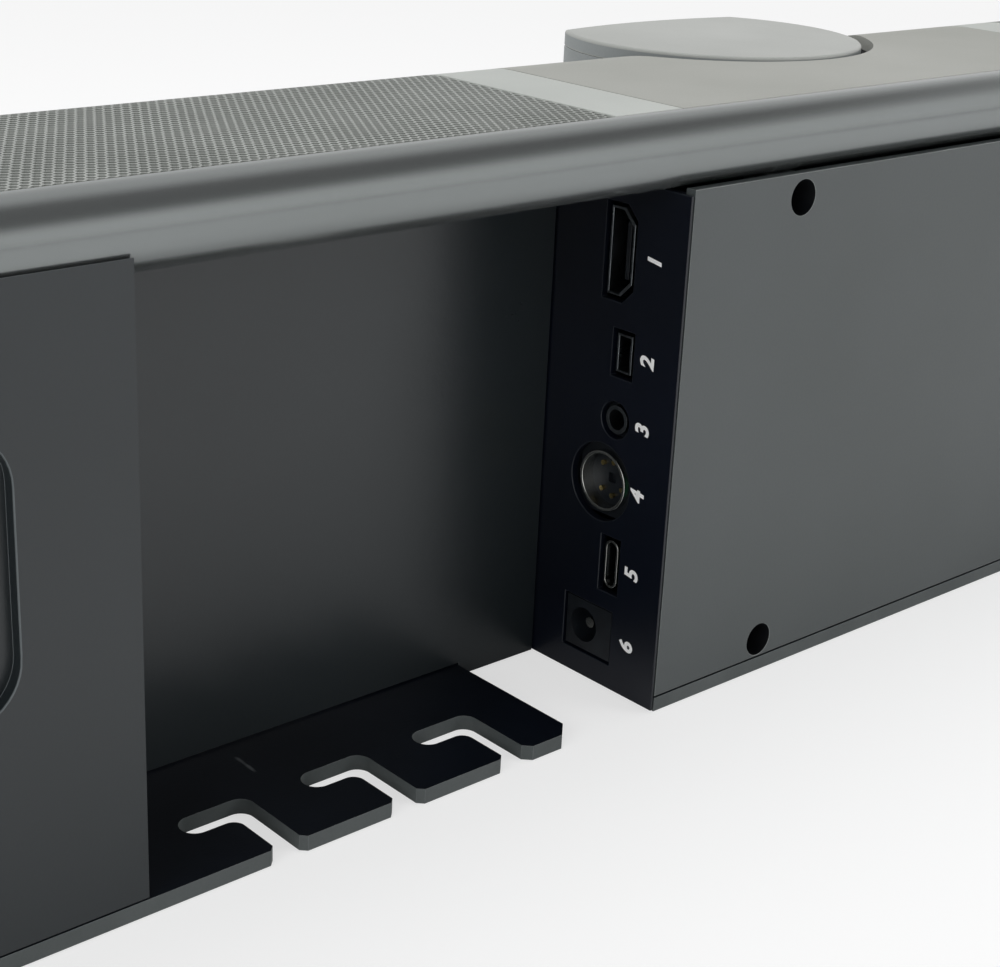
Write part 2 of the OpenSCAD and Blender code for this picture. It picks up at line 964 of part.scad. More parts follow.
module pan_bearing() {
  color("#e4e4e0")
    difference() {
      rod_z([0, head_y, deck_z + deck_t], bearing_out, bearing_t);
      rod_z([0, head_y, deck_z], bearing_in, bar_height);
    }
}

// Plan of the head: a disc with a bowed front, drawn in by an inset
module head_area(inset) {
  intersection() {
    translate([0, head_y])
      circle(r = head_radius - inset, $fn = fine);
    translate([0, bow_y])
      circle(r = front_bow - inset, $fn = 4 * fine);
  }
}

module head_base() {
  color("#2b2d30")
    difference() {
      union() {
        translate([0, 0, head_low])
          linear_extrude(height = head_base_t)
            head_area(0);
        rod_z([0, head_y, head_low], hub_radius, shaft_top - head_low);
      }
      rod_z([0, head_y, head_low - over], shaft_radius, bar_height);
    }
}

module head_shell() {
  color("#9a9e9e")
    difference() {
      translate([0, 0, shell_low])
        linear_extrude(height = shell_top - shell_low)
          difference() {
            head_area(0);
            head_area(head_wall);
          }
      block([-window_w / 2, head_y - head_radius, window_low],
            [window_w / 2, head_y - cradle_radius, window_low + window_h]);
      both()
        block([head_radius - grip_d, head_y - seam, shell_top - grip_h],
              [head_radius + over, head_y + grip_w, shell_top]);
    }
}

module head_cap() {
  color("#b4b7b3")
    translate([0, 0, shell_top])
      linear_extrude(height = head_cap_t)
        head_area(0);
}

module head_window() {
  color("#0c0d10")
    translate([0, 0, window_low + seam / 2])
      linear_extrude(height = window_h - seam)
        intersection() {
          difference() {
            head_area(0);
            head_area(window_t);
          }
          translate([-window_w / 2 + seam / 2, head_y - head_radius])
            square([window_w - seam, head_radius - cradle_radius]);
        }
}

module head_yoke() {
  color("#2b2d30")
    difference() {
      union() {
        block([-yoke_x - yoke_t, head_y - yoke_w / 2, shell_low],
              [-hub_radius - hub_gap, head_y + yoke_w / 2, shell_low + yoke_t]);
        block([hub_radius + hub_gap, head_y - yoke_w / 2, shell_low],
              [yoke_x + yoke_t, head_y + yoke_w / 2, shell_low + yoke_t]);
        block([-yoke_x - yoke_t, head_y + hub_radius + hub_gap / 2, shell_low],
              [yoke_x + yoke_t, head_y + yoke_w, shell_low + yoke_t]);
        both()
          block([yoke_x, head_y - yoke_w / 2, shell_low], [yoke_x + yoke_t, head_y + yoke_w / 2, yoke_top]);
      }
      rod_x([-half, head_y, tilt_z], trunnion + running_gap, bar_length);
    }
}

module tilt_cradle() {
  color("#3a3d40")
    difference() {
      union() {
        rod_x([-cradle_x, head_y, tilt_z], cradle_radius, 2 * cradle_x);
        rod_x([-trunnion_l, head_y, tilt_z], trunnion, 2 * trunnion_l);
      }
      rod_y([0, head_y - 2 * cradle_radius, tilt_z], barrel_radius, 2 * cradle_radius - barrel_back);
      block([-half, head_y + sensor_gap - barrel_back, 0], [half, rear_y, bar_height]);
    }
}

module lens_barrel() {
  color("#17181a")
    difference() {
      rod_y([0, head_y - barrel_l, tilt_z], barrel_radius, barrel_l - barrel_back);
      rod_y([0, head_y - barrel_l - over, tilt_z], barrel_radius - barrel_wall, glass_inset + glass_t + over);
      rod_y([0, head_y - barrel_l, tilt_z], barrel_radius - 2 * barrel_wall, barrel_l);
    }
}

module lens_glass() {
  color("#1e2a3a")
    rod_y([0, head_y - barrel_l + glass_inset, tilt_z], barrel_radius - barrel_wall, glass_t);
}

module sensor_board() {
  color("#1f5a3a")
    block([-sensor_w / 2, head_y + sensor_gap - barrel_back, tilt_z - sensor_w / 2],
          [sensor_w / 2, head_y + sensor_gap - barrel_back + board_t, tilt_z + sensor_w / 2]);
}

module tilt_motor() {
  color("#a9acae")
    difference() {
      rod_x([-tilt_motor_x - tilt_motor_t, head_y, tilt_z], tilt_motor_r, tilt_motor_t);
      rod_x([-half, head_y, tilt_z], trunnion + running_gap, bar_length);
    }
}

module microphone_board() {
  color("#1f5a3a")
    block([-voice_w / 2, front_y + skin_t + seam, voice_low],
          [voice_w / 2, front_y + skin_t + seam + voice_t, voice_low + voice_h]);
}

module microphones() {
  color("#b9a56a")
    for (x = [-capsule_far, -capsule_near, capsule_near, capsule_far])
      rod_y([x, front_y + skin_t + seam + voice_t, voice_low + voice_h / 2], capsule_r, capsule_t);
}

module amplifier_board() {
  color("#1f5a3a")
    block([-amp_x - amp_w, amp_y, amp_low], [-amp_x, amp_y + board_t, amp_low + amp_w]);
}

module amplifier_parts() {
  color("#8f9396") {
    block([-amp_sink_x - amp_sink_w, amp_y - amp_sink_t, amp_low + amp_sink_w],
          [-amp_sink_x, amp_y, amp_low + amp_w - amp_sink_w]);
    for (z = [amp_low + 3 * amp_cap_r, amp_low + 6 * amp_cap_r])
      rod_y([-amp_cap_x, amp_y - amp_cap_l, z], amp_cap_r, amp_cap_l);
    for (x = [-amp_x - amp_w + amp_edge, -amp_x - amp_edge])
      for (z = [amp_low + amp_edge, amp_low + amp_w - amp_edge])
        rod_y([x, amp_y + board_t, z], amp_post, rear_y - wall_t - amp_y - board_t);
  }
}

module speaker_boxes() {
  color("#1d1f21")
    both()
      difference() {
        block([box_x, box_front, box_low], [box_end, box_back, box_top]);
        block([box_x + box_wall, box_front + box_wall, box_low + box_wall],
              [box_end - box_wall, box_back - box_wall, box_top - box_wall]);
        rod_y([driver_x, box_front - over, driver_z], surround_radius + 2 * basket_rim,
              box_wall + 2 * over);
      }
}

module speaker_baskets() {
  color("#4a4d50")
    both()
      difference() {
        union() {
          rod_y([driver_x, box_front - flange_t, driver_z], driver_radius, flange_t);
          rod_y([driver_x, box_front - flange_t, driver_z], surround_radius + basket_rim,
                basket_l + flange_t);
        }
        rod_y([driver_x, box_front - flange_t - over, driver_z], surround_radius,
              basket_l + over - box_wall + flange_t);
        rod_y([driver_x, box_front, driver_z], magnet_radius / 2, basket_l + over);
      }
}

module speaker_surrounds() {
  color("#1a1b1d")
    both()
      translate([driver_x, box_front, driver_z])
        rotate([90, 0, 0])
          rotate_extrude()
            intersection() {
              translate([(cone_radius + surround_radius) / 2, 0])
                difference() {
                  circle(d = surround_radius - cone_radius);
                  circle(d = surround_radius - cone_radius - 2 * roll_t);
                }
              translate([cone_radius, 0])
                square([surround_radius - cone_radius, surround_radius - cone_radius]);
            }
}

module speaker_cones() {
  color("#2a2c2e")
    both()
      translate([driver_x, box_front, driver_z])
        rotate([-90, 0, 0])
          difference() {
            cylinder(r1 = cone_radius, r2 = magnet_radius / 2, h = cone_l);
            translate([0, 0, -cone_t])
              cylinder(r1 = cone_radius - cone_t, r2 = magnet_radius / 2 - cone_t, h = cone_l);
          }
}

module speaker_magnets() {
  color("#6f7376")
    both()
      rod_y([driver_x, box_front + basket_l, driver_z], magnet_radius, magnet_l);
}

module cover_screws() {
  color("#1c1d1f")
    for (s = [-1, 1], z = [well_low, well_high])
      translate([s * well_pitch / 2, rear_y - well_depth + screw_sink, z])
        rotate([90, 0, 0])
          difference() {
            screw(screw_core, screw_head, screw_l);
            translate([0, 0, -over])
              cylinder(r = hex_r, h = hex_deep + over, $fn = 6);
          }
}

module base_screws() {
  color("#1c1d1f")
    for (p = base_screw_places)
      translate([p[0], p[1], 0])
        difference() {
          screw(screw_core, screw_head, screw_l);
          translate([0, 0, -over])
            cylinder(r = hex_r, h = hex_deep + over, $fn = 6);
        }
}

module board_screws() {
  color("#1c1d1f")
    for (s = [-1, 1], z = [board_post_low, board_post_high])
      translate([s * board_post_x, board_y + board_t + screw_sink, z])
        rotate([90, 0, 0])
          screw(screw_core, screw_head, screw_l);
}

module end_screws() {
  color("#1c1d1f")
    both()
      rod_x([half - screw_l - cap_t, rail_core_y, rail_core_z], rail_core - fit, screw_l + cap_t);
}

module tripod_insert() {
  color("#b08d4a")
    difference() {
      rod_z([0, 0, 0], insert_radius + tripod_radius, tripod_top);
      rod_z([0, 0, -over], tripod_radius, tripod_deep + over);
    }
}

module bracket_inserts() {
  color("#b08d4a")
    both()
      for (x = bracket_places)
        difference() {
          rod_y([x, insert_y, recess_z], insert_radius, insert_l);
          rod_y([x, insert_y - over, recess_z], bracket_radius, insert_l + 2 * over);
        }
}

base_plate();
left_housing();
right_housing();
top_rail();
rear_cover();
connector_panel();
video_shell();
video_insert();
mic_shell();
mic_insert();
jack_body();
jack_sleeve();
serial_body();
serial_ring();
serial_pins();
computer_shell();
computer_insert();
power_body();
power_tip();
main_board();
board_chips();
heat_sink();
head_well();
centre_shroud();
status_window();
trim_strips();
grille_left();
grille_right();
end_cap_left();
end_cap_right();
deck();
pan_motor();
pan_shaft();
pan_bearing();
head_base();
head_shell();
head_cap();
head_window();
head_yoke();
tilt_cradle();
lens_barrel();
lens_glass();
sensor_board();
tilt_motor();
microphone_board();
microphones();
amplifier_board();
amplifier_parts();
speaker_boxes();
speaker_baskets();
speaker_surrounds();
speaker_cones();
speaker_magnets();
cover_screws();
base_screws();
board_screws();
end_screws();
tripod_insert();
bracket_inserts();
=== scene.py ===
import json
import math

import bmesh
import bpy
from mathutils import Euler, Matrix, Vector

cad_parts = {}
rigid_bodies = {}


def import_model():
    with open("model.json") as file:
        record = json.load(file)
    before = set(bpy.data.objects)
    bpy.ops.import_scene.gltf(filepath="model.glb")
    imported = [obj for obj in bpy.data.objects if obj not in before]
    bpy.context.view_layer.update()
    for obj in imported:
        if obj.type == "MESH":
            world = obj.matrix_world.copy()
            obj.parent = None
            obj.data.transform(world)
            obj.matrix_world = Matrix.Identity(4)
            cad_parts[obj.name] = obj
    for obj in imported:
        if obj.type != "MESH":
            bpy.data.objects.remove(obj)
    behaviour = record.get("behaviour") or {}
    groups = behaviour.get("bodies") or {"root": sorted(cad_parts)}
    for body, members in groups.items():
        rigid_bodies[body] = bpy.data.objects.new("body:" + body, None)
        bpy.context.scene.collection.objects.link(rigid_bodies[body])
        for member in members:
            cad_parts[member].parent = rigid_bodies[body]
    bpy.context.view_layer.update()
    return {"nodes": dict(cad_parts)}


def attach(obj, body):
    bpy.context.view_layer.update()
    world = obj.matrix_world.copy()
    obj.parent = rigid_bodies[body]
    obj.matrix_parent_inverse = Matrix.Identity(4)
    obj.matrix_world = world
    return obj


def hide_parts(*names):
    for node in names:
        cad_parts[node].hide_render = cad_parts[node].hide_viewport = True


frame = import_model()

MM = 0.001  # metres in a millimetre: sizes and places below are in mm, and the meshes are in metres

# Base plate.
# One sawn and anodised aluminium plate under the whole bar, with the cable hooks and the notch at its rear
# edge. Six screws with sunk heads hold it. Its broken edges carry a painted highlight and its upright sides
# painted light, both paler than its top.
CLOUD_SPAN = (0.32, 0.68)  # the stretch of the coarse noise that takes a finish from light to dark
GRAIN_SPAN = (0.3, 0.7)  # the same for the fine noise
GRAIN_SHARE = 0.35  # how much the grain adds to the mottling
GRAIN_RISE = 0.6  # strength of the grain's bump
SCRATCH_TURN = (0.2, 0.1, 0.9)  # lie of the scratches in radians
SCRATCH_DRAW = (1.0, 0.06, 1.0)  # how far they are drawn out along one axis
SCRATCH_LINES = 420.0  # noise scale of the lines, one about every 2.4 mm
SCRATCH_SPOTS = 90.0  # noise scale of the spots that hold them, about 11 mm
SCRATCH_SPAN = (0.45, 0.5)  # the stretch in which a line fades in
SCRATCH_TONE = "#9a9ea0"
MERGE = 0.002  # points nearer than this are one point
FLAT_TURN = math.radians(0.6)  # faces that turn less than this lie in one plane
SHARP_TURN = math.radians(32)  # edges that turn more than this are broken
BREAK_STEPS = 3  # facets across a broken edge
UPRIGHT = 0.5  # a face whose normal rises less than this stands upright


def linear(code):
    """An sRGB hex colour as linear red, green, blue and alpha."""
    parts = [int(code[i:i + 2], 16) / 255 for i in (1, 3, 5)]
    return tuple(p / 12.92 if p <= 0.04045 else ((p + 0.055) / 1.055) ** 2.4 for p in parts) + (1.0,)


def add(tree, kind, settings=None, sockets=None):
    """Adds one shader node with its settings, its plain values and its links."""
    node = tree.nodes.new("ShaderNode" + kind)
    for key, value in (settings or {}).items():
        setattr(node, key, value)
    for key, value in (sockets or {}).items():
        if isinstance(value, bpy.types.NodeSocket):
            tree.links.new(value, node.inputs[key])
        else:
            node.inputs[key].default_value = value
    return node


def surface(name, light, dark, patch, grain, rough, bump, stretch=(1, 1, 1), scratch=0.0, **facts):
    """A finish mottled from light to dark over patches, with a grain that the bump raises, all in mm.

    rough is the lowest and highest roughness, stretch draws the grain out along an axis, scratch is the share
    of fine scratches, and facts are the shader's own plain values.
    """
    made = bpy.data.materials.new(name)
    made.use_nodes = True
    tree = made.node_tree
    tree.nodes.clear()
    place = add(tree, "TexCoord").outputs["Object"]
    drawn = add(tree, "Mapping", None, {"Vector": place, "Scale": stretch}).outputs[0]
    cloud = add(tree, "TexNoise", None, {"Vector": place, "Scale": 1 / (patch * MM),
                                         "Detail": 4.0}).outputs[0]
    fine = add(tree, "TexNoise", None, {"Vector": drawn, "Scale": 1 / (grain * MM),
                                        "Detail": 3.0}).outputs[0]
    share = add(tree, "MapRange", None, {"Value": cloud, "From Min": CLOUD_SPAN[0],
                                         "From Max": CLOUD_SPAN[1]}).outputs[0]
    speck = add(tree, "MapRange", None, {"Value": fine, "From Min": GRAIN_SPAN[0],
                                         "From Max": GRAIN_SPAN[1]}).outputs[0]
    both = add(tree, "Math", {"operation": "MULTIPLY_ADD"}, {0: speck, 1: GRAIN_SHARE, 2: share}).outputs[0]
    colour = add(tree, "Mix", {"data_type": "RGBA"}, {0: both, 6: linear(light),
                                                      7: linear(dark)}).outputs[2]
    if scratch:
        bent = add(tree, "Mapping", None, {"Vector": place, "Rotation": SCRATCH_TURN,
                                           "Scale": SCRATCH_DRAW}).outputs[0]
        line = add(tree, "TexNoise", None, {"Vector": bent, "Scale": SCRATCH_LINES,
                                            "Detail": 1.0}).outputs[0]
        spot = add(tree, "TexNoise", None, {"Vector": place, "Scale": SCRATCH_SPOTS,
                                            "Detail": 2.0}).outputs[0]
        seen = add(tree, "Math", {"operation": "MULTIPLY"}, {0: line, 1: spot}).outputs[0]
        cut = add(tree, "MapRange", None, {"Value": seen, "From Min": SCRATCH_SPAN[0],
                                           "From Max": SCRATCH_SPAN[1], "To Max": scratch}).outputs[0]
        colour = add(tree, "Mix", {"data_type": "RGBA"}, {0: cut, 6: colour,
                                                          7: linear(SCRATCH_TONE)}).outputs[2]
    gloss = add(tree, "MapRange", None, {"Value": both, "From Max": 1 + GRAIN_SHARE,
                                         "To Min": rough[0], "To Max": rough[1]}).outputs[0]
    raised = add(tree, "Bump", None, {"Height": fine, "Strength": GRAIN_RISE,
                                      "Distance": bump * MM}).outputs[0]
    shader = add(tree, "BsdfPrincipled", None, {"Base Color": colour, "Roughness": gloss, "Normal": raised,
                                                **facts})
    add(tree, "OutputMaterial", None, {"Surface": shader.outputs[0]})
    return made


def rounded(node, name, finish, width, edge=None, wide=(), melt=True):
    """The node's solid with its sharp edges broken to a width in mm, as a piece in the node's place.

    edge is the finish of the broken edges, a painted highlight where it is paler than the faces. Each row
    of wide is the low and high corner of a box in mm and the share of the width that the edges in it get.
    melt joins the triangles of flat faces, which ring-shaped faces can't take.
    """
    solid = frame["nodes"][node]
    bm = bmesh.new()
    bm.from_mesh(solid.data)
    bmesh.ops.remove_doubles(bm, verts=bm.verts, dist=MERGE * MM)
    if melt:
        bmesh.ops.dissolve_limit(bm, angle_limit=FLAT_TURN, verts=bm.verts, edges=bm.edges)
    weight = bm.edges.layers.float.new("bevel_weight_edge")
    most = max([1.0] + [row[2] for row in wide])
    for e in bm.edges:
        if len(e.link_faces) == 2 and e.calc_face_angle() > SHARP_TURN:
            e[weight] = 1 / most
            for low, high, share in wide:
                if all(low[i] * MM <= v.co[i] <= high[i] * MM for v in e.verts for i in range(3)):
                    e[weight] = share / most
    for face in bm.faces:
        face.smooth = True
    mesh = bpy.data.meshes.new(name)
    bm.to_mesh(mesh)
    bm.free()
    if "custom_normal" in mesh.attributes:
        mesh.attributes.remove(mesh.attributes["custom_normal"])
    mesh.set_sharp_from_angle(angle=SHARP_TURN)
    mesh.materials.clear()
    mesh.materials.append(finish)
    mesh.materials.append(edge or finish)
    piece = bpy.data.objects.new(name, mesh)
    bpy.context.scene.collection.objects.link(piece)
    bevel = piece.modifiers.new("broken edges", "BEVEL")
    bevel.limit_method = "WEIGHT"
    bevel.width = width * most * MM
    bevel.segments = BREAK_STEPS
    # The bevel faces take the edge finish, a painted highlight where it is paler.
    bevel.material = 1
    bevel.harden_normals = True
    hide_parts(node)
    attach(piece, solid.parent.name.removeprefix("body:"))
    return piece


def paint_light_and_shade_on_sides(piece, finish):
    """Gives the upright faces of a piece a finish of their own: painted light on the base plate's sides and
    painted shade on the cap's sides.
    """
    piece.data.materials.append(finish)
    for face in piece.data.polygons:
        if abs(face.normal.z) < UPRIGHT:
            face.material_index = 2


# Black anodised aluminium, bead blasted: near black with a cool cast, a satin gloss and a few fine scratches.
black_anodised = surface("black_anodised_plate", "#0e131c", "#080c14", patch=24, grain=0.5,
                         rough=(0.3, 0.42), bump=0.02, scratch=0.35)
# The sawn upright sides of the plate are painted paler than its top as painted light, and take the anodising
# drier.
plate_side_painted_light = surface("anodised_sawn_side", "#545959", "#4b5050", patch=14, grain=0.5, rough=(0.4, 0.55),
                    bump=0.03)
# The same anodising on the edges broken by file, painted a paler, drier grey as a highlight.
plate_edge_painted_highlight = surface("rubbed_anodised_edge", "#989c9d", "#707476", patch=9, grain=0.4, rough=(0.4, 0.6),
                      bump=0.02, Metallic=0.5)
hook_plate = rounded("base_plate", "hook_plate", black_anodised, width=0.25, edge=plate_edge_painted_highlight)
# The plate's upright faces take the paler finish as painted light.
paint_light_and_shade_on_sides(hook_plate, plate_side_painted_light)

# Tripod thread, bracket threads and screws.
# The inserts are turned brass bushes set in the base plate and the housings. The screws are black oxide
# steel. Those of the base and of the rear cover's wells have sunk heads with a hexagon drive.


def dress(finish, *names):
    """Gives CAD nodes a finish."""
    for name in names:
        for place in frame["nodes"][name].material_slots:
            place.material = finish


# Turned brass: warm yellow metal with the fine rings of the lathe tool, drawn as a close grain.
turned_brass = surface("turned_brass", "#b8954e", "#96753a", patch=6, grain=0.25, rough=(0.22, 0.38),
                       bump=0.01, Metallic=1.0)
# Black oxide steel: oily blue-black, half matt.
black_oxide = surface("black_oxide_steel", "#26282b", "#17181a", patch=3, grain=0.3, rough=(0.35, 0.55),
                      bump=0.015, Metallic=0.8)
dress(turned_brass, "tripod_insert", "bracket_inserts")
dress(black_oxide, "base_screws", "cover_screws", "board_screws", "end_screws")

# Left and right housing.
# Folded sheet with a fine powder coat: the wall behind the cable bay, the bay's side wall and the rear wall
# of each end block, with a pressed round-cornered recess that takes a wall bracket.
RECESS_RIM = ((186, 35, 35), (279, 37, 79))  # box round the rim of the left recess
RECESS_SLOPE = 4.0  # how much wider than the other edges the rim is broken
UNDER_RAIL = ((68, 0, 90), (297, 37, 96))  # box round the left edges that hide under the rail
HARDLY = 0.1  # share of the width for edges that stay sharp

# Powder coat, charcoal under a satin gloss that takes up the pale room: a fine orange-peel grain of 0.6 mm.
powder_coat = surface("charcoal_powder_coat", "#1e2427", "#191f22", patch=60, grain=0.6, rough=(0.27, 0.35),
                      bump=0.02, IOR=1.62)
# The coat on the drawn edges of the sheet and the slope of the recess, painted a little paler as a highlight.
coat_edge_painted_highlight = surface("coat_on_drawn_edge", "#565c5e", "#4d5355", patch=20, grain=0.6, rough=(0.32, 0.4),
                     bump=0.02, IOR=1.62)


def across(box):
    """A box on the other side of the bar's middle."""
    (x_low, y_low, z_low), (x_high, y_high, z_high) = box
    return (-x_high, y_low, z_low), (-x_low, y_high, z_high)


left_wall = rounded("left_housing", "bay_and_left_wall", powder_coat, width=0.35, edge=coat_edge_painted_highlight,
                    wide=[(*RECESS_RIM, RECESS_SLOPE), (*UNDER_RAIL, HARDLY)])
right_wall = rounded("right_housing", "right_wall", powder_coat, width=0.35, edge=coat_edge_painted_highlight,
                     wide=[(*across(RECESS_RIM), RECESS_SLOPE), (*across(UNDER_RAIL), HARDLY)])

# Top rail.
# Extruded aluminium rail that closes the rear edge of the bar with a half round. It is satin anodised, and a
# screw through each end cap holds it.

# Anodised extrusion: grain drawn along the bar, 0.4 mm across, with soft long reflections.
anodised_rail = surface("anodised_extrusion", "#8b8f8f", "#888c8b", patch=60, grain=0.4, rough=(0.22, 0.24),
                        bump=0.001, stretch=(0.02, 1, 1), Metallic=0.8)
dress(anodised_rail, "top_rail")

# Head well and deck.
# Moulded black plastic tub that closes the bar behind the camera head and carries the main board, and the
# disc that the head turns on.

# Moulded ABS, black: faint spark-erosion texture of 0.4 mm, matt.
black_abs = surface("moulded_black_abs", "#2a2d30", "#222427", patch=30, grain=0.4, rough=(0.5, 0.65),
                    bump=0.02)
dress(black_abs, "head_well", "deck", "speaker_boxes", "head_yoke", "head_base")

# Main board, its parts and the other boards.
# Glass-fibre boards under green solder mask, with moulded chips and an extruded heat sink. Four screws hold
# the main board on its posts.

# Solder mask: glossy green lacquer, slightly cloudy over the weave of 0.5 mm.
solder_mask = surface("green_solder_mask", "#23603f", "#184a30", patch=12, grain=0.5, rough=(0.2, 0.35),
                      bump=0.015)
# Moulded epoxy of a chip: matt black with a fine grain.
chip_epoxy = surface("chip_epoxy", "#232527", "#191b1c", patch=5, grain=0.2, rough=(0.5, 0.65), bump=0.01)
# Extruded aluminium: grain drawn along the fins, bright and dry.
extruded_aluminium = surface("extruded_aluminium", "#a2a6a9", "#8b9093", patch=10, grain=0.3,
                             rough=(0.3, 0.45), bump=0.015, stretch=(1, 1, 0.03), Metallic=1.0)
dress(solder_mask, "main_board", "sensor_board", "microphone_board", "amplifier_board")
dress(chip_epoxy, "board_chips")
dress(extruded_aluminium, "heat_sink", "amplifier_parts")

# Sockets.
# Six sockets soldered to the edge of the main board. Each has a pressed metal shell, ring or pin and a
# moulded black body. Shells stand in their openings in the panel, 0.4 mm below its face.

# Dark nickel plate on pressed steel: smoky grey metal with small pressing marks.
dark_nickel = surface("dark_nickel_plate", "#8d9295", "#73787b", patch=3, grain=0.2, rough=(0.25, 0.4),
                      bump=0.008, Metallic=1.0)
# Bright nickel plate: clean pale metal, slightly clouded by handling.
bright_nickel = surface("bright_nickel_plate", "#d5d6d2", "#bcbdb8", patch=3, grain=0.2, rough=(0.16, 0.28),
                        bump=0.005, Metallic=1.0)
# Moulded nylon of a socket body: black, half matt.
black_nylon = surface("moulded_black_nylon", "#1a1e23", "#121519", patch=4, grain=0.2, rough=(0.36, 0.5),
                      bump=0.01)
# Gold flash on a pin: warm, pale and polished.
gold_flash = surface("gold_flash", "#dcc993", "#bfa768", patch=2, grain=0.15, rough=(0.18, 0.3), bump=0.004,
                     Metallic=1.0)
# Each row: node, piece, width of the broken edges, finish and slot.
sockets = [("video_shell", "video_socket_shell", 0.12, dark_nickel, "dark_steel"),
           ("mic_shell", "mic_socket_shell", 0.1, dark_nickel, "dark_steel"),
           ("computer_shell", "computer_socket_shell", 0.12, bright_nickel, "socket_steel"),
           ("serial_ring", "serial_socket_ring", 0.18, bright_nickel, "socket_steel"),
           ("jack_sleeve", "jack_ring", 0.2, dark_nickel, "steel"),
           ("power_tip", "power_pin", 0.35, bright_nickel, "socket_steel"),
           ("power_body", "power_socket", 0.25, black_nylon, "socket_black"),
           ("serial_body", "serial_socket", 0.12, black_nylon, "socket_black"),
           ("video_insert", "video_socket_tongue", 0.1, black_nylon, "socket_black"),
           ("computer_insert", "computer_socket_tongue", 0.1, black_nylon, "socket_black")]
for node, name, width, finish, slot in sockets:
    rounded(node, name, finish, width, melt=False)
dress(black_nylon, "mic_insert", "jack_body")
dress(gold_flash, "serial_pins", "microphones")

# Connector panel.
# Pressed sheet with a smooth black finish in the side of the centre block, cut out round each socket. Plain
# white printed numbers stand beside the sockets, from the top down.
PANEL_X = 69.0  # face of the panel
NUMBER_Y = 29.2  # line of the numbers
SOCKET_HEIGHTS = (78.8, 61.8, 50.0, 38.1, 23.6, 9.9)
NUMBER_SIZE = 4.2
NUMBER_SLANT = 0.15
NUMBER_WEIGHT = 0.14  # by how much the strokes are made bolder
INK_THICKNESS = 0.015

# Smooth black lacquer on sheet: blue-black, low relief, satin gloss.
black_lacquer = surface("black_lacquer_sheet", "#0a0f1b", "#060a14", patch=30, grain=0.35,
                        rough=(0.3, 0.42), bump=0.006)
# The cut edge of the lacquered sheet is painted a thin, hardly paler line as a highlight.
panel_edge_painted_highlight = surface("lacquered_cut_edge", "#22262d", "#191d23", patch=4, grain=0.3, rough=(0.35, 0.5),
                       bump=0.006)
panel = rounded("connector_panel", "socket_panel", black_lacquer, width=0.16, edge=panel_edge_painted_highlight)

# Screen printing ink: flat opaque white, barely proud of the panel.
white_ink = surface("white_printing_ink", "#ffffff", "#f4f4f2", patch=4, grain=0.2, rough=(0.55, 0.7),
                    bump=0.004)
numbers = bmesh.new()
turned = Matrix(((0, 0, 1), (0, -1, 0), (1, 0, 0))).to_4x4()
for index, height in enumerate(SOCKET_HEIGHTS):
    line = bpy.data.curves.new("number", "FONT")
    line.body = str(index + 1)
    line.size = NUMBER_SIZE * MM
    line.align_x = "CENTER"
    line.align_y = "CENTER"
    line.shear = NUMBER_SLANT
    line.offset = NUMBER_WEIGHT * MM
    line.extrude = INK_THICKNESS * MM
    holder = bpy.data.objects.new("number", line)
    bpy.context.scene.collection.objects.link(holder)
    bpy.context.view_layer.update()
    flat = bpy.data.meshes.new_from_object(holder)
    flat.transform(Matrix.Translation((PANEL_X * MM, NUMBER_Y * MM, height * MM)) @ turned)
    numbers.from_mesh(flat)
    bpy.data.objects.remove(holder)
    bpy.data.curves.remove(line)
mesh = bpy.data.meshes.new("socket_numbers")
bmesh.ops.remove_doubles(numbers, verts=numbers.verts, dist=MERGE * MM)
numbers.to_mesh(mesh)
numbers.free()
mesh.materials.clear()
mesh.materials.append(white_ink)
socket_numbers = bpy.data.objects.new("socket_numbers", mesh)
bpy.context.scene.collection.objects.link(socket_numbers)
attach(socket_numbers, "bar")

# Rear cover.
# Flat aluminium cover of the centre block, coated mid grey, with four sunk wells for the screws that hold it.
COVER_Y = 36.0  # outer face of the cover
WELLS = [(x, z) for x in (-41.5, 41.5) for z in (6.3, 87.8)]
WELL_RADIUS = 3.2
WELL_BOX = (4, 1, 3.3)  # half the box round the mouth of a well
WELL_SOFTNESS = 0.3  # share of the width for the mouth of a well
PANEL_SIDE = ((68, 33, 2), (69, 37, 93))  # box round the edge beside the connector panel
WELL_SHADE_DEPTH = 0.1  # the painted shade starts this far below the face

# Fine powder coat, dark grey under a soft satin that takes up the pale room, a little cloudy over 80 mm.
cover_coat = surface("grey_powder_coat", "#4a4f50", "#444949", patch=80, grain=0.5, rough=(0.34, 0.42),
                     bump=0.015, IOR=1.6)
# The cover's cut edge is painted pale as a highlight where it catches the light.
cover_edge_painted_highlight = surface("thin_coat_at_cut_edge", "#a4a8a7", "#7e8382", patch=12, grain=0.4, rough=(0.35, 0.5),
                     bump=0.015, Metallic=0.4)
# The inside of each screw well is painted near black as shade.
well_painted_shade = surface("black_well_lining", "#0b0d11", "#07090c", patch=4, grain=0.3, rough=(0.5, 0.6),
                      bump=0.01)
mouths = []
for x, z in WELLS:
    middle, around = Vector((x, COVER_Y, z)), Vector(WELL_BOX)
    mouths.append((middle - around, middle + around, WELL_SOFTNESS))
rear_plate = rounded("rear_cover", "rear_plate", cover_coat, width=0.25, edge=cover_edge_painted_highlight,
                     wide=mouths + [(*PANEL_SIDE, HARDLY)])
rear_plate.data.materials.append(well_painted_shade)
# Faces inside the wells, below the face, take the painted shade.
for face in rear_plate.data.polygons:
    x, y, z = face.center / MM
    if y < COVER_Y - WELL_SHADE_DEPTH and any(math.hypot(x - a, z - b) < WELL_RADIUS for a, b in WELLS):
        face.material_index = 2

# Speakers and amplifier.
# Two drivers with pressed baskets, rubber surrounds, paper cones and ferrite magnets, in closed boxes behind
# the perforated skins.

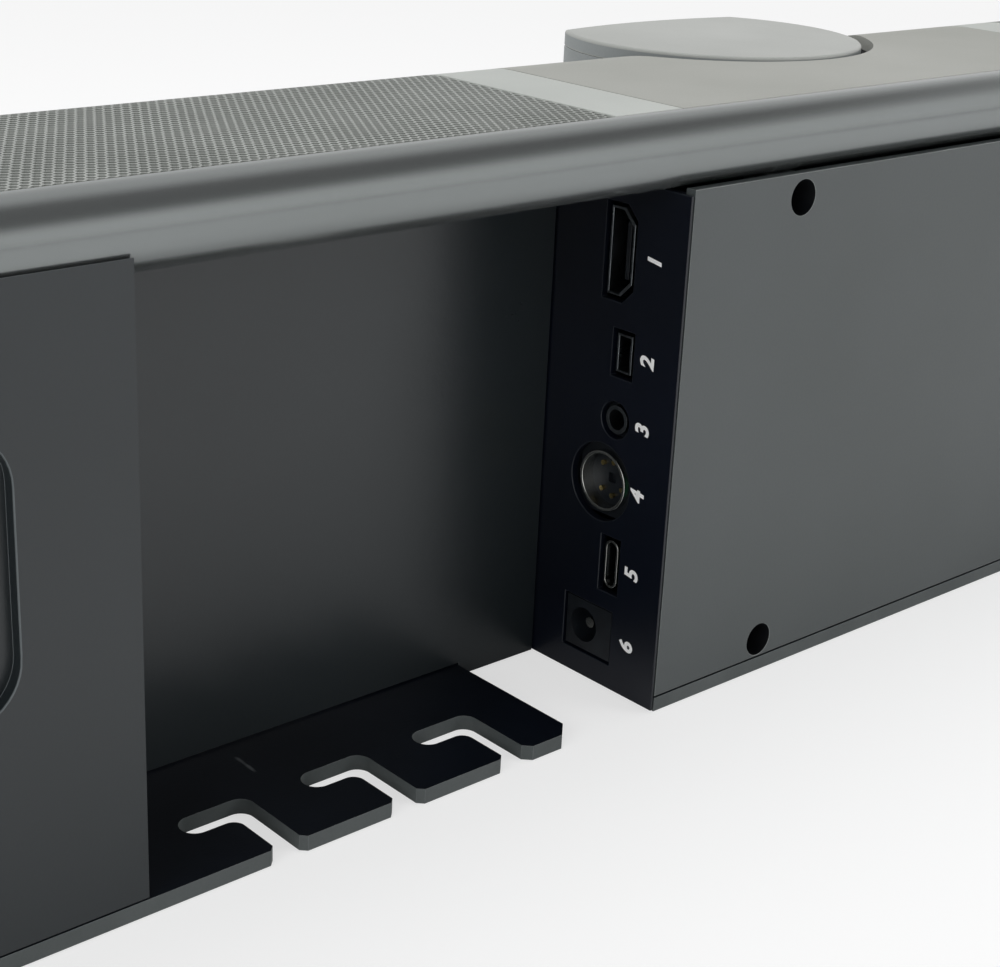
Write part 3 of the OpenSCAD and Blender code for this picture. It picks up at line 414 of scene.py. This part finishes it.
# Pressed steel, grey primed.
pressed_steel = surface("primed_pressed_steel", "#54585b", "#45494c", patch=12, grain=0.4,
                        rough=(0.4, 0.55), bump=0.02, Metallic=0.4)
# Rubber: black, matt and even.
rubber = surface("butyl_rubber", "#1e1f21", "#161719", patch=8, grain=0.3, rough=(0.6, 0.75), bump=0.01)
# Pressed paper pulp, dyed black, with fibres of about 0.5 mm.
paper_pulp = surface("pressed_paper_pulp", "#303234", "#242628", patch=5, grain=0.5, rough=(0.8, 0.95),
                     bump=0.08)
# Ferrite between zinc plates.
ferrite = surface("ferrite_and_zinc", "#7c8083", "#65696c", patch=8, grain=0.4, rough=(0.4, 0.55),
                  bump=0.02, Metallic=0.5)
dress(pressed_steel, "speaker_baskets")
dress(rubber, "speaker_surrounds")
dress(paper_pulp, "speaker_cones")
dress(ferrite, "speaker_magnets")

# Perforated skins.
# Steel sheet with round holes in rows 60 degrees apart, bent over the top and the front and powder coated
# grey. Each skin is drawn as four lengths that meet at cut lines, with six-sided holes.
PITCH = 1.52  # distance between holes, measured from the slanting ribs that they leave
HOLE = 0.68  # corner radius of a hole
HOLE_SIDES = 6
SHEET = 1.2  # thickness
SKIN_TOP = 103.6
SKIN_REAR = 29.6
BEND = 25.0  # outer radius of the bend from top to front
BEND_Y = -11.0
BEND_Z = SKIN_TOP - BEND
SKIN_LOW = 10.0
SKIN_NEAR = 81.1
SKIN_FAR = 295.7
LENGTHS = 4
SPARE_HOLES = 3  # holes made past the ends and then cut away
SKIN_MERGE = 0.01
SKIN_SHARP = math.radians(40)
# Powder coat on perforated steel: mid grey where light grazes the lands, with a dry fine grain.
mesh_coat = surface("powder_coated_mesh", "#9da09c", "#8f928e", patch=25, grain=0.3, rough=(0.4, 0.52),
                    bump=0.01)


def repeat(bm, step, least):
    """Doubles everything in bm along a step until there are at least so many."""
    made = 1
    while made < least:
        copy = bmesh.ops.duplicate(bm, geom=bm.verts[:] + bm.edges[:] + bm.faces[:])["geom"]
        bmesh.ops.translate(bm, verts=[v for v in copy if isinstance(v, bmesh.types.BMVert)],
                            vec=Vector(step) * made)
        made *= 2


def perforated(name, start, end):
    """One length of the perforated skin from start to end along the bar, in mm, as a mesh."""
    reach = SKIN_REAR - BEND_Y + BEND * math.pi / 2 + BEND_Z - SKIN_LOW
    bm = bmesh.new()
    rings = [(PITCH / math.sqrt(3), 0), (HOLE, 0), (HOLE, -SHEET), (PITCH / math.sqrt(3), -SHEET)]
    loops = []
    for radius, drop in rings:
        ring = bmesh.ops.create_circle(bm, radius=radius, segments=HOLE_SIDES,
                                       matrix=Matrix.Translation((0, 0, drop)))
        loops.append({e for v in ring["verts"] for e in v.link_edges})
    for first, second in zip(loops, loops[1:]):
        bmesh.ops.bridge_loops(bm, edges=list(first | second))
    bmesh.ops.recalc_face_normals(bm, faces=bm.faces)
    row = PITCH * math.sin(math.pi / 3)
    repeat(bm, (PITCH / 2, row, 0), 2)
    repeat(bm, (PITCH, 0, 0), (end - start) / PITCH + SPARE_HOLES)
    repeat(bm, (0, 2 * row, 0), reach / row / 2 + 1)
    bmesh.ops.translate(bm, verts=bm.verts, vec=(math.floor(start / PITCH - 1) * PITCH,
                                                 SKIN_REAR - reach - PITCH, SKIN_TOP))
    for point, away in (((start, 0, 0), (-1, 0, 0)), ((end, 0, 0), (1, 0, 0)),
                        ((0, SKIN_REAR, 0), (0, 1, 0)), ((0, SKIN_REAR - reach, 0), (0, -1, 0))):
        bmesh.ops.bisect_plane(bm, geom=bm.verts[:] + bm.edges[:] + bm.faces[:], dist=SKIN_MERGE / 100,
                               plane_co=point, plane_no=away, clear_outer=True)
    bmesh.ops.remove_doubles(bm, verts=bm.verts, dist=SKIN_MERGE)
    rims = [e for e in bm.edges if len(e.link_faces) == 1]
    bmesh.ops.holes_fill(bm, edges=rims)
    for v in bm.verts:
        x, y, z = v.co
        deep = SKIN_TOP - z
        past = BEND_Y - y
        if past > 0:
            turn = min(past / BEND, math.pi / 2)
            y = BEND_Y - (BEND - deep) * math.sin(turn)
            z = BEND_Z + (BEND - deep) * math.cos(turn) - max(0, past - BEND * math.pi / 2)
        v.co = (x * MM, y * MM, z * MM)
    for face in bm.faces:
        face.smooth = True
    made = bpy.data.meshes.new(name)
    bm.to_mesh(made)
    bm.free()
    made.set_sharp_from_angle(angle=SKIN_SHARP)
    made.materials.append(mesh_coat)
    return made


for index in range(LENGTHS):
    near = SKIN_NEAR + (SKIN_FAR - SKIN_NEAR) * index / LENGTHS
    far = SKIN_NEAR + (SKIN_FAR - SKIN_NEAR) * (index + 1) / LENGTHS
    for side, turn in (("left", 1), ("right", -1)):
        name = f"{side}_skin_{index + 1}"
        ends = sorted((turn * near, turn * far))
        skin = bpy.data.objects.new(name, perforated(name, *ends))
        bpy.context.scene.collection.objects.link(skin)
        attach(skin, "bar")
        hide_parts(f"grille_{side}")

# Trim strips.
# Two pale anodised strips that frame the plain centre, their edge beside the perforated skin rolled over.
TRIM_ROLL = ((79, -40, 8), (82, 32, 105))  # box round the rolled edge of the left strip
ROLL_SHARE = 3.5  # how much wider than the other edges it is rounded

# Silver anodised aluminium: pale, fine blasted grain, satin.
silver_anodised = surface("silver_anodised_strip", "#b6bab5", "#acb0ab", patch=40, grain=0.4,
                          rough=(0.36, 0.46), bump=0.012)
trims = rounded("trim_strips", "trim_pair", silver_anodised, width=0.3,
                wide=[(*TRIM_ROLL, ROLL_SHARE), (*across(TRIM_ROLL), ROLL_SHARE)])

# Centre shroud.
# Plain bent aluminium skin over the middle of the bar, with the round bite that frees the camera head.

# Blasted and anodised sheet, warm grey: a dry, even surface.
warm_anodised = surface("warm_grey_anodised_sheet", "#999a93", "#91928b", patch=70, grain=0.4,
                        rough=(0.4, 0.5), bump=0.012)
shroud = rounded("centre_shroud", "centre_skin", warm_anodised, width=0.3)

# End caps and status window.
# The end caps are cast, coated like the housings and screwed into the rail. The status window is a strip of
# smoked acrylic set into the centre skin.
end_left = rounded("end_cap_left", "left_end", powder_coat, width=0.8)
end_right = rounded("end_cap_right", "right_end", powder_coat, width=0.8)
# Smoked acrylic: near black, polished, with slight waviness.
smoked_acrylic = surface("smoked_acrylic", "#101115", "#0c0d10", patch=30, grain=2.0, rough=(0.06, 0.12),
                         bump=0.004)
dress(smoked_acrylic, "status_window")

# Pan drive.
# Geared motor with a ground steel shaft and a bearing ring of white acetal between the deck and the head.

# Zinc plated motor can: pale grey metal with faint clouds.
zinc_can = surface("zinc_plated_can", "#b4b7b8", "#9ca0a2", patch=6, grain=0.3, rough=(0.28, 0.42),
                   bump=0.01, Metallic=1.0)
# Ground steel: bright, with the fine rings of grinding.
ground_steel = surface("ground_steel", "#c6c8c9", "#b0b3b4", patch=4, grain=0.15, rough=(0.18, 0.28),
                       bump=0.004, Metallic=1.0)
# Acetal: milky white, waxy.
acetal = surface("white_acetal", "#e6e6e1", "#dadad5", patch=10, grain=0.3, rough=(0.3, 0.42), bump=0.006)
dress(zinc_can, "pan_motor", "tilt_motor")
dress(ground_steel, "pan_shaft")
dress(acetal, "pan_bearing")

# Camera head.
# Moulded and painted shell with a smoked window at the front, and a flat cap on it whose edge is slightly
# rounded. The shell stands on the turning base.
CAP_RIM = ((-31, -46, 104), (31, 6, 105))  # box round the cap's upper edge
CAP_SOFTNESS = 2.4  # how much wider than the other edges it is rounded

# Soft grey paint on moulded plastic: pale, even, satin.
head_paint = surface("pale_grey_soft_paint", "#adafab", "#a5a7a3", patch=40, grain=0.4, rough=(0.42, 0.52),
                     bump=0.01)
# The same paint on the sides, painted a little cooler and darker as shade.
side_paint_painted_shade = surface("cool_grey_soft_paint", "#949999", "#8b9090", patch=40, grain=0.4, rough=(0.42, 0.52),
                     bump=0.01)
cap = rounded("head_cap", "head_lid", head_paint, width=0.25, wide=[(*CAP_RIM, CAP_SOFTNESS)])
# The cap's upright faces and the whole shell take the darker copy as painted shade.
paint_light_and_shade_on_sides(cap, side_paint_painted_shade)
shell = rounded("head_shell", "head_wall", side_paint_painted_shade, width=0.25)
dress(smoked_acrylic, "head_window")

# Eye.
# Cradle that tilts on two trunnions and carries the lens barrel, its glass and the sensor board.

# Black anodised lens barrel: deep black with a faint sheen.
barrel_black = surface("black_anodised_barrel", "#1c1d20", "#131416", patch=5, grain=0.2, rough=(0.3, 0.42),
                       bump=0.008, Metallic=0.3)
# Coated lens glass: dark with a blue-green reflection.
lens_coating = surface("coated_lens_glass", "#14283a", "#0f1d2c", patch=10, grain=1.0, rough=(0.03, 0.06),
                       bump=0.001)
dress(black_abs, "tilt_cradle")
dress(barrel_black, "lens_barrel")
dress(lens_coating, "lens_glass")

# Floor, light and camera.
# A plain pale floor in a pale room, with three soft boxes: overhead, behind the bar and past its near end.
# The camera stands behind the cable bay and looks along the bar. Places in this section are in metres.
FLOOR_REACH = 6.0
FLOOR_DROP = 0.2 * MM  # the floor lies this far below the base plate
FLOOR_WHITE = 1.16  # the floor's own brightness where the camera sees it
NEAR_REACH, FAR_REACH = 0.4, 1.3  # between these distances the floor goes over to the backdrop
NEAR_GLOW = 0.65  # share of plain glow beside the bar, the rest carries its shadow
ROOM_LIGHT = 0.55
SKY_LOW, SKY_HIGH = 0.36, 0.7  # rise at which the mirrored room starts and ends to darken
SKY_DARK = 0.12
FRONT_START, FRONT_FULL = 0.1, -0.35  # toward the front the mirrored room is light again
FRONT_LIGHT = 0.8
EYE_PLACE = (0.2906, 0.2362, 0.1557)
EYE_TURN = (68.939, -2.572, 138.462)  # degrees
LENS_LENGTH = 68.98
floor_paint = bpy.data.materials.new("matt_white_floor")
floor_paint.use_nodes = True
tree = floor_paint.node_tree
tree.nodes.clear()
path = add(tree, "LightPath")
straight = add(tree, "Math", {"operation": "MAXIMUM"}, {0: path.outputs["Is Camera Ray"],
                                                        1: path.outputs["Is Transmission Ray"]}).outputs[0]
spot = add(tree, "TexCoord").outputs["Object"]
away = add(tree, "VectorMath", {"operation": "LENGTH"}, {0: spot}).outputs["Value"]
share = add(tree, "MapRange", None, {"Value": away, "From Min": NEAR_REACH, "From Max": FAR_REACH,
                                     "To Min": NEAR_GLOW, "To Max": 1.0}).outputs[0]
half = add(tree, "Math", {"operation": "MULTIPLY"}, {0: straight, 1: share}).outputs[0]
white = add(tree, "Mix", {"data_type": "RGBA"}, {0: straight, 6: linear("#f6f6f6"),
                                                 7: (FLOOR_WHITE,) * 3 + (1.0,)}).outputs[2]
matt = add(tree, "BsdfDiffuse", None, {"Color": white}).outputs[0]
glow = add(tree, "Emission", None, {"Color": linear("#f7f7f7")}).outputs[0]
mixed = add(tree, "MixShader", None, {0: half, 1: matt, 2: glow}).outputs[0]
add(tree, "OutputMaterial", None, {"Surface": mixed})
ground = bmesh.new()
bmesh.ops.create_grid(ground, x_segments=2, y_segments=2, size=FLOOR_REACH)
bmesh.ops.translate(ground, verts=ground.verts, vec=(0, 0, -FLOOR_DROP))
mesh = bpy.data.meshes.new("floor")
ground.to_mesh(mesh)
ground.free()
mesh.materials.append(floor_paint)
floor = bpy.data.objects.new("floor", mesh)
bpy.context.scene.collection.objects.link(floor)

world = bpy.data.worlds.new("studio")
world.use_nodes = True
bpy.context.scene.world = world
tree = world.node_tree
tree.nodes.clear()
path = add(tree, "LightPath")
seen = add(tree, "Math", {"operation": "MAXIMUM"}, {0: path.outputs["Is Camera Ray"],
                                                    1: path.outputs["Is Transmission Ray"]}).outputs[0]
look = add(tree, "TexCoord").outputs["Generated"]
axes = add(tree, "SeparateXYZ", None, {0: look}).outputs
band = add(tree, "MapRange", {"interpolation_type": "SMOOTHSTEP"},
           {"Value": axes["Z"], "From Min": SKY_LOW, "From Max": SKY_HIGH, "To Min": 1.0,
            "To Max": SKY_DARK}).outputs[0]
front = add(tree, "MapRange", None, {"Value": axes["Y"], "From Min": FRONT_START, "From Max": FRONT_FULL,
                                     "To Min": 0.0, "To Max": FRONT_LIGHT}).outputs[0]
band = add(tree, "Math", {"operation": "MAXIMUM"}, {0: band, 1: front}).outputs[0]
room = add(tree, "Background", None, {"Color": linear("#d9dadb"), "Strength": ROOM_LIGHT}).outputs[0]
mirrored = add(tree, "Background", None, {"Color": linear("#f8f8f8"), "Strength": band}).outputs[0]
backdrop = add(tree, "Background", None, {"Color": linear("#f4f4f4"), "Strength": 1.0}).outputs[0]
lit = add(tree, "MixShader", None, {0: path.outputs["Is Glossy Ray"], 1: room, 2: mirrored}).outputs[0]
mixed = add(tree, "MixShader", None, {0: seen, 1: lit, 2: backdrop}).outputs[0]
add(tree, "OutputWorld", None, {"Surface": mixed})

# Each soft box: name, place, point that it faces, width and height, and watts.
boxes = [("overhead_box", (-0.1, -0.35, 1.25), (0, 0, 0), (1.3, 0.9), 8.0),
         ("side_box", (-0.9, 1.1, 0.65), (0, 0, 0.05), (0.8, 0.6), 6.0),
         ("end_box", (1.3, 0.5, 0.6), (0, 0, 0.05), (0.8, 0.6), 7.0)]
for name, place, aim, size, power in boxes:
    lamp = bpy.data.lights.new(name, "AREA")
    lamp.shape = "RECTANGLE"
    lamp.size, lamp.size_y = size
    lamp.energy = power
    holder = bpy.data.objects.new(name, lamp)
    holder.visible_glossy = False
    holder.location = place
    holder.rotation_euler = (Vector(aim) - Vector(place)).to_track_quat("-Z", "Y").to_euler()
    bpy.context.scene.collection.objects.link(holder)

lens = bpy.data.cameras.new("camera")
lens.sensor_width = 36.0
lens.lens = LENS_LENGTH
lens.clip_start = 0.01
eye = bpy.data.objects.new("camera", lens)
eye.location = EYE_PLACE
eye.rotation_euler = Euler([math.radians(a) for a in EYE_TURN])
bpy.context.scene.collection.objects.link(eye)
bpy.context.scene.camera = eye
bpy.context.scene.view_settings.view_transform = "Standard"
